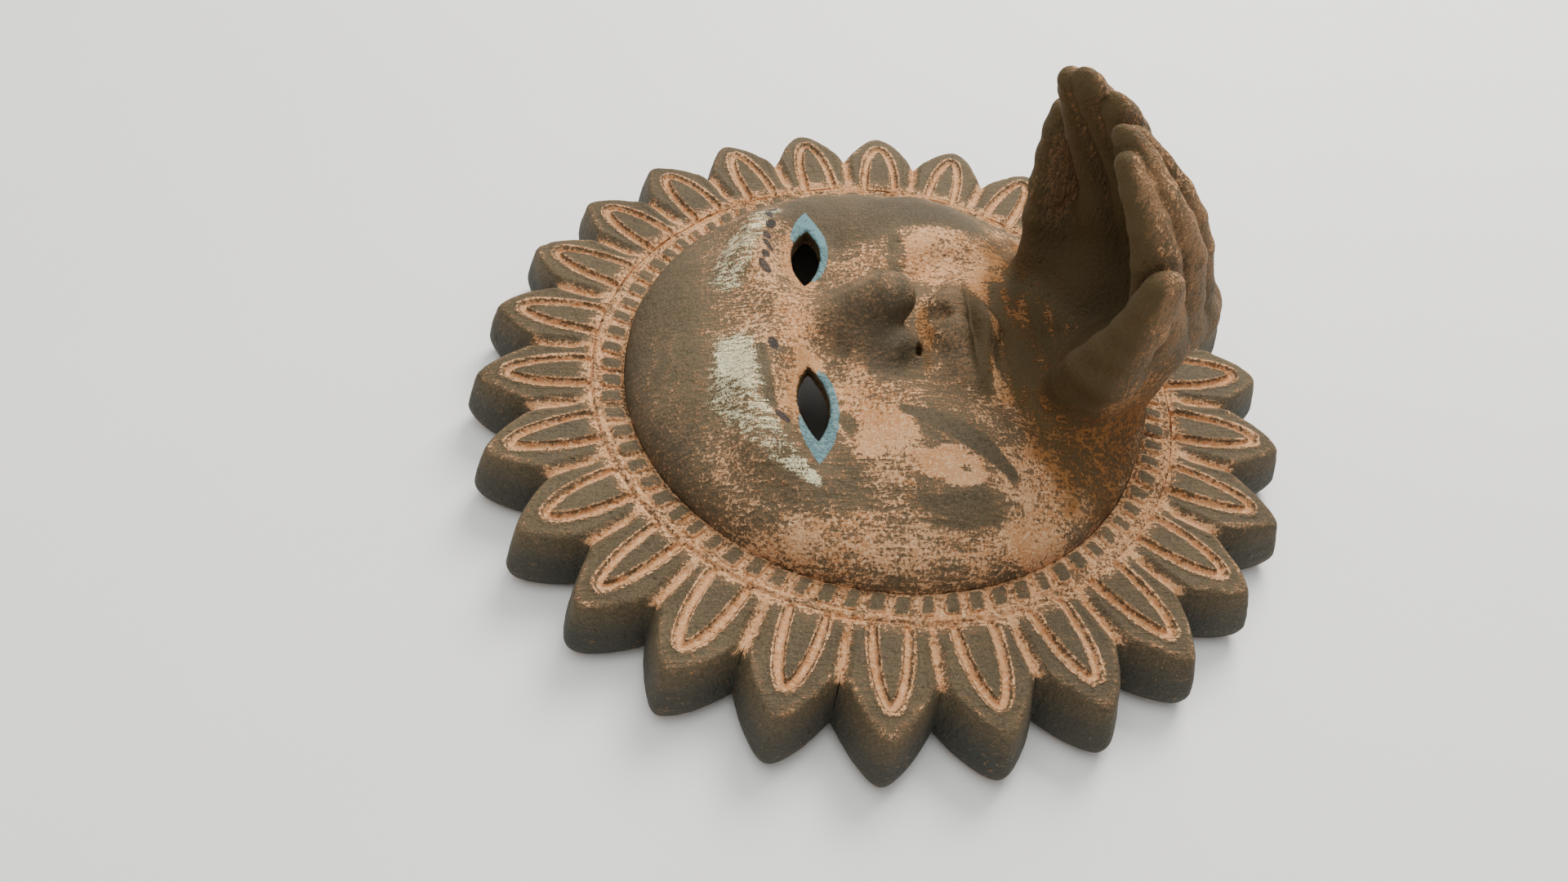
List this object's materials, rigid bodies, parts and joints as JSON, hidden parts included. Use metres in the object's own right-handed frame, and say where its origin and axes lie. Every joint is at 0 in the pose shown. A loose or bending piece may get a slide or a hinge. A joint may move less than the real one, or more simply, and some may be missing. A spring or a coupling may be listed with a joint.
{
  "type": "sun face wall plaque",
  "caption": "Round clay wall plaque: a domed sun face with cut-out eyes, a ring of beads, pointed rays, and cupped hands standing out from the chin.",
  "frame": {"origin": "centre of the back plane, which rests on the wall or table", "axes": "+Z out of the face, +Y from the chin towards the forehead, +X to the viewer's right when hung"},
  "size_m": [0.3194, 0.3194, 0.1565],
  "materials": {
    "slipped_clay": "matt dark slip worn through to orange clay",
    "bare_clay": "bare matt terracotta",
    "steel_wire": "dull drawn wire"
  },
  "bodies": {
    "plaque": {"face_shell": "slipped_clay", "nose": "slipped_clay", "lips": "slipped_clay", "collar": "bare_clay", "bead_band": "slipped_clay", "ray_01": "slipped_clay", "ray_02": "slipped_clay", "ray_03": "slipped_clay", "ray_04": "slipped_clay", "ray_05": "slipped_clay", "ray_06": "slipped_clay", "ray_07": "slipped_clay", "ray_08": "slipped_clay", "ray_09": "slipped_clay", "ray_10": "slipped_clay", "ray_11": "slipped_clay", "ray_12": "slipped_clay", "ray_13": "slipped_clay", "ray_14": "slipped_clay", "ray_15": "slipped_clay", "ray_16": "slipped_clay", "ray_17": "slipped_clay", "ray_18": "slipped_clay", "ray_19": "slipped_clay", "ray_20": "slipped_clay", "ray_21": "slipped_clay", "ray_22": "slipped_clay", "ray_23": "slipped_clay", "ray_24": "slipped_clay", "ray_25": "slipped_clay", "ray_26": "slipped_clay", "left_palm": "slipped_clay", "left_thumb": "slipped_clay", "left_index_finger": "slipped_clay", "left_middle_finger": "slipped_clay", "left_ring_finger": "slipped_clay", "left_little_finger": "slipped_clay", "right_palm": "slipped_clay", "right_thumb": "slipped_clay", "right_index_finger": "slipped_clay", "right_middle_finger": "slipped_clay", "right_ring_finger": "slipped_clay", "right_little_finger": "slipped_clay", "hanger_lug_left": "bare_clay", "hanger_lug_right": "bare_clay"},
    "hanger": {"hanging_wire": "steel_wire"}
  },
  "joints": [
    {"name": "hanger_swing", "type": "hinge", "parent": "plaque", "child": "hanger", "pos_m": [0, 0.093, 0.009], "axis": [1, 0, 0], "range_deg": [-150, 8]}
  ]
}
